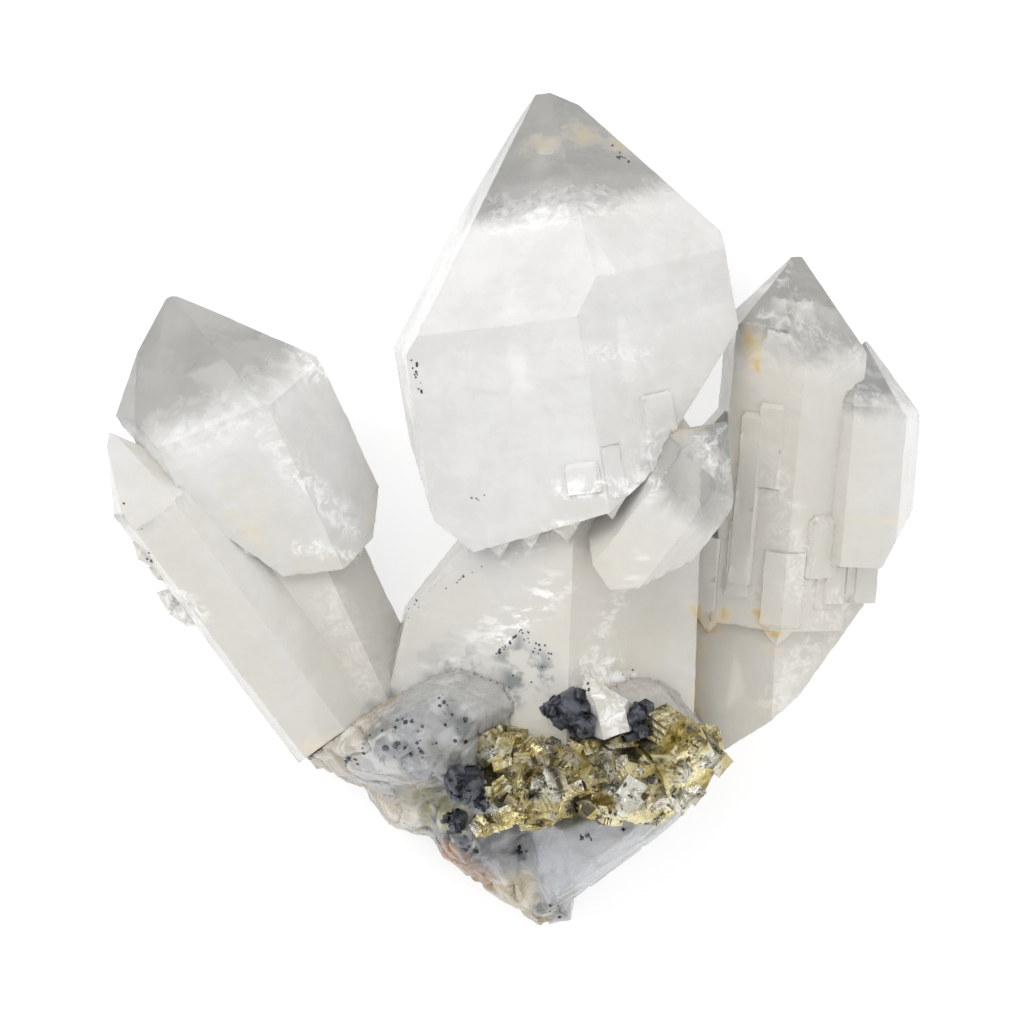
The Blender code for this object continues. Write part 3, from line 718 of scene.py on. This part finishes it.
def quartz_material():
    """Milky quartz that turns clear where it is painted so, with veils, smoky patches and rust stains."""
    nodes = Nodes("quartz_look")
    clear = nodes.painted("clear")
    veil = nodes.painted("veil")
    smoke = nodes.painted("smoke")
    cloud = nodes.noise(0.010, detail=3.0, roughness=0.6, low=0.3, high=0.72)
    wisp = nodes.noise(0.0035, detail=4.0, roughness=0.65, distortion=1.2, low=0.42, high=0.62)
    frost = nodes.noise(0.0016, detail=4.0, roughness=0.7, distortion=0.8, low=0.42, high=0.66)
    rising = nodes.streaks(36.0, 0.0011, 0.009, 0.45, 0.62)
    milk = nodes.mix(cloud, (0.71, 0.70, 0.675), (0.79, 0.785, 0.775))
    milk = nodes.mix(nodes.math("MULTIPLY", nodes.painted("growth"), 0.5), milk, (0.64, 0.64, 0.63))
    milk = nodes.mix(nodes.math("MULTIPLY", wisp, 0.25), milk, (0.84, 0.84, 0.84))
    warm = nodes.math("MULTIPLY", nodes.painted("warm"), nodes.span(cloud, 0.0, 1.0, 0.6, 1.0))
    milk = nodes.mix(warm, milk, (0.68, 0.645, 0.56))
    colour = nodes.mix(clear, milk, (0.93, 0.925, 0.895))
    feather = nodes.math("MULTIPLY", nodes.painted("streak"), rising)
    feather = nodes.math("ADD", feather, nodes.math("MULTIPLY", veil, frost))
    colour = nodes.mix(feather, colour, (0.93, 0.93, 0.93))
    grey = nodes.math("MULTIPLY", smoke, nodes.noise(0.003, detail=4.0, roughness=0.6, low=0.34, high=0.58))
    colour = nodes.mix(grey, colour, (0.22, 0.23, 0.23))
    blotch = nodes.noise(0.0026, detail=4.0, low=0.30, high=0.66)
    rust = nodes.math("MULTIPLY", nodes.painted("stain"), blotch)
    colour = nodes.mix(rust, colour, (0.60, 0.43, 0.17))
    nodes.set("Base Color", colour)
    haze = nodes.math("MULTIPLY", wisp, 0.12)
    clean = nodes.math("SUBTRACT", clear, haze)
    through = nodes.span(clean, 0.0, 0.9, 0.16, 0.78)
    marks = nodes.math("ADD", nodes.math("ADD", feather, rust), grey)
    through = nodes.math("SUBTRACT", through, nodes.math("MULTIPLY", marks, 0.5))
    nodes.set("Transmission Weight", through)
    rough = nodes.noise(0.006, detail=1.0)
    nodes.set("Roughness", nodes.span(rough, 0.3, 0.75, 0.08, 0.28))
    nodes.set("IOR", 1.544)
    fine = nodes.noise(0.0012, detail=1.0)
    nodes.set("Normal", nodes.bump(fine, 0.00006))
    absorption = nodes.tree.nodes.new("ShaderNodeVolumeAbsorption")
    absorption.inputs["Color"].default_value = (0.94, 0.93, 0.89, 1.0)
    absorption.inputs["Density"].default_value = 12.0
    nodes.tree.links.new(absorption.outputs["Volume"], nodes.output.inputs["Volume"])
    return nodes.material


def rock_material():
    """Vein rock in the colours painted on it, with fine light and dark patches."""
    nodes = Nodes("rock_look")
    tint = nodes.painted("tint", "Color")
    coarse = nodes.painted("tint", "Alpha")
    grain = nodes.noise(0.0018, detail=4.0, roughness=0.7, low=0.34, high=0.68)
    white = nodes.noise(0.005, detail=5.0, roughness=0.65, distortion=1.5, low=0.5, high=0.62)
    white = nodes.math("MULTIPLY", white, nodes.span(coarse, 0.1, 0.8, 0.12, 0.35))
    dark = nodes.noise(0.0028, detail=5.0, roughness=0.7, distortion=0.7, low=0.54, high=0.68)
    dark = nodes.math("MULTIPLY", dark, nodes.span(coarse, 0.1, 0.8, 0.25, 0.8))
    colour = nodes.mix(nodes.math("MULTIPLY", grain, 0.12), tint, (0.82, 0.82, 0.80))
    colour = nodes.mix(white, colour, (0.84, 0.83, 0.80))
    colour = nodes.mix(dark, colour, (0.14, 0.145, 0.15))
    nodes.set("Base Color", colour)
    nodes.set("Roughness", nodes.span(grain, 0.0, 1.0, 0.10, 0.38))
    nodes.set("IOR", 1.54)
    relief = nodes.noise(0.0022, detail=5.0, roughness=0.65)
    nodes.set("Normal", nodes.bump(relief, 0.00025))
    return nodes.material


def pyrite_material():
    """Brassy metal with silvery places, and painted shade in grooves and pits."""
    nodes = Nodes("pyrite_look")
    tone = nodes.noise(0.003, detail=6.0, low=0.35, high=0.65)
    colour = nodes.mix(tone, (0.44, 0.36, 0.13), (0.80, 0.73, 0.47))
    silver = nodes.math("ADD", nodes.noise(0.0045, detail=5.0, low=0.55, high=0.66), nodes.painted("silver"))
    colour = nodes.mix(nodes.math("MULTIPLY", silver, 0.8), colour, (0.76, 0.77, 0.73))
    blush = nodes.noise(0.002, detail=3.0, low=0.6, high=0.7)
    colour = nodes.mix(nodes.math("MULTIPLY", blush, 0.4), colour, (0.60, 0.40, 0.36))
    # painted shade in the pits: they turn near-black and less metallic
    pit_shade_mask = nodes.noise(0.0014, detail=8.0, roughness=0.75, low=0.54, high=0.61)
    pit_shade_mask = nodes.math("ADD", pit_shade_mask, nodes.painted("pit_shade"))
    # painted shade: crevice-like grooves between the facets darkened, as shade would fall in them
    groove_shade = nodes.noise(0.0022, detail=9.0, roughness=0.7, distortion=0.6, low=0.5, high=0.6)
    colour = nodes.mix(nodes.math("MULTIPLY", groove_shade, 0.6), colour, (0.10, 0.075, 0.03))
    colour = nodes.mix(pit_shade_mask, colour, (0.05, 0.04, 0.03))
    nodes.set("Base Color", colour)
    nodes.set("Metallic", nodes.span(pit_shade_mask, 0.0, 1.0, 1.0, 0.4))
    nodes.set("Roughness", nodes.span(nodes.noise(0.0015, detail=5.0), 0.3, 0.7, 0.10, 0.32))
    relief = nodes.noise(0.0011, detail=8.0, roughness=0.6)
    nodes.set("Normal", nodes.bump(relief, 0.0002))
    return nodes.material


def galena_material():
    """Dark blue grey metal."""
    nodes = Nodes("galena_look")
    tone = nodes.noise(0.0015, detail=6.0, low=0.35, high=0.65)
    nodes.set("Base Color", nodes.mix(tone, (0.030, 0.032, 0.038), (0.16, 0.17, 0.20)))
    nodes.set("Metallic", 0.8)
    nodes.set("Roughness", nodes.span(tone, 0.0, 1.0, 0.25, 0.5))
    relief = nodes.noise(0.0009, detail=8.0, roughness=0.6)
    nodes.set("Normal", nodes.bump(relief, 0.00025))
    return nodes.material


# Camera, floor and light

def camera():
    """The camera straight above the cluster, so far away that it sees it without perspective."""
    data = bpy.data.cameras.new("camera")
    data.sensor_width = SENSOR
    data.lens = data.sensor_width * CAMERA_HEIGHT / (PIXEL * PICTURE * MM)
    data.clip_end = 100.0
    obj = bpy.data.objects.new("camera", data)
    obj.location = (-MIDDLE.x * MM, -MIDDLE.y * MM, CAMERA_HEIGHT)
    bpy.context.scene.collection.objects.link(obj)
    bpy.context.scene.camera = obj


def floor():
    """The plain white floor, which gives some light of its own."""
    mesh = bpy.data.meshes.new("floor")
    half = FLOOR_SIZE / 2
    corners = [(-half, -half, 0), (half, -half, 0), (half, half, 0), (-half, half, 0)]
    mesh.from_pydata(corners, [], [(0, 1, 2, 3)])
    nodes = Nodes("floor_look")
    nodes.set("Base Color", (0.5, 0.5, 0.5, 1.0))
    nodes.set("Roughness", 0.9)
    nodes.set("Emission Color", (1.0, 1.0, 1.0, 1.0))
    nodes.set("Emission Strength", 0.6)
    obj = add_object("floor", mesh, nodes.material)


def soft_light(name, place, size, power, colour, mirrored=True):
    """A square soft light that points at the cluster, seen in shiny faces or not."""
    data = bpy.data.lights.new(name, "AREA")
    data.shape = "SQUARE"
    data.size = size
    data.energy = power
    data.color = colour
    obj = bpy.data.objects.new(name, data)
    obj.location = place
    aim = Vector((0.0, 0.0, LIGHTS_AIM)) - Vector(place)
    obj.rotation_euler = aim.to_track_quat("-Z", "Y").to_euler()
    obj.visible_camera = False
    obj.visible_glossy = mirrored
    bpy.context.scene.collection.objects.link(obj)


def studio():
    """A white surrounding, the soft lights and how the picture is worked out."""
    world = bpy.data.worlds.new("studio")
    world.use_nodes = True
    background = world.node_tree.nodes["Background"]
    background.inputs["Color"].default_value = (1.0, 1.0, 1.0, 1.0)
    background.inputs["Strength"].default_value = 0.80
    bpy.context.scene.world = world
    soft_light("key", (-0.30, 0.40, 0.6), 0.50, 2.5, (1.0, 0.99, 0.97), False)
    soft_light("fill", (0.50, -0.40, 0.45), 0.40, 0.3, (1.0, 1.0, 1.0), False)
    soft_light("glint", (0.42, -0.47, 0.33), 0.10, 0.6, (1.0, 0.99, 0.96))
    soft_light("side", (-0.6, -0.05, 0.16), 0.25, 0.6, (0.80, 0.85, 1.0))
    soft_light("back", (0.30, 0.55, 0.30), 0.20, 0.5, (0.90, 0.94, 1.0))
    bpy.context.scene.view_settings.view_transform = "Standard"
    cycles = bpy.context.scene.cycles
    cycles.max_bounces = 7
    cycles.transmission_bounces = 6
    cycles.diffuse_bounces = 2
    cycles.glossy_bounces = 2


# The scene

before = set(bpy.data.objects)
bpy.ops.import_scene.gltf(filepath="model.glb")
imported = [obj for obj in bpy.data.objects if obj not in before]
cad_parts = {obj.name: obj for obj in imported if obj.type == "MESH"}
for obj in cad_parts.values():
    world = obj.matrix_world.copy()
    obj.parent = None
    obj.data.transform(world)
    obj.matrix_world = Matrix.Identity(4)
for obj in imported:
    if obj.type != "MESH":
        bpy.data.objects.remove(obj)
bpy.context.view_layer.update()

quartz = quartz_piece()
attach(quartz, "root")
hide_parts("quartz_crystals")

rock = rock_piece()
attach(rock, "root")
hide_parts("matrix")

pyrite_look = pyrite_material()
galena_look = galena_material()
chance = random.Random(SEED + 1)
pyrite_nodes = [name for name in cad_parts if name.startswith("pyrite")]
galena_nodes = [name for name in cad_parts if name.startswith("galena")]
pyrite_places = places_on(pyrite_nodes, PYRITE_COUNT, chance)
galena_places = places_on(galena_nodes, GALENA_COUNT, chance)
speck_places = places_seen((quartz, rock), chance)
# Each kind: its places, smallest and largest size, how deep its middle lies as a share of the size,
# depth of its grooves, material and slot
for name, places, sizes, sunk, depth, look, slot in (
        ("pyrite_facets", pyrite_places, (0.7, 3.0), 0.22, 0.05, pyrite_look, "pyrite"),
        ("galena_facets", galena_places, (0.4, 1.6), 0.2, 0.03, galena_look, "galena"),
        ("dark_specks", speck_places, None, 0.1, 0.0, galena_look, "galena")):
    crystals = small_cubes(name, places, sizes, sunk, depth, look, chance)
    if slot == "pyrite":
        # silvery places, and the pits that get painted shade
        for value, patches in (("silver", SILVER), ("pit_shade", PIT_SHADE)):
            made = stretches(patches)
            paint(crystals.data, value, lambda place: share_near(place, made, 0.6))
    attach(crystals, "root")
for names, look in ((pyrite_nodes, pyrite_look), (galena_nodes, galena_look)):
    for name in names:
        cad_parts[name].data.materials[0] = look

camera()
floor()
studio()
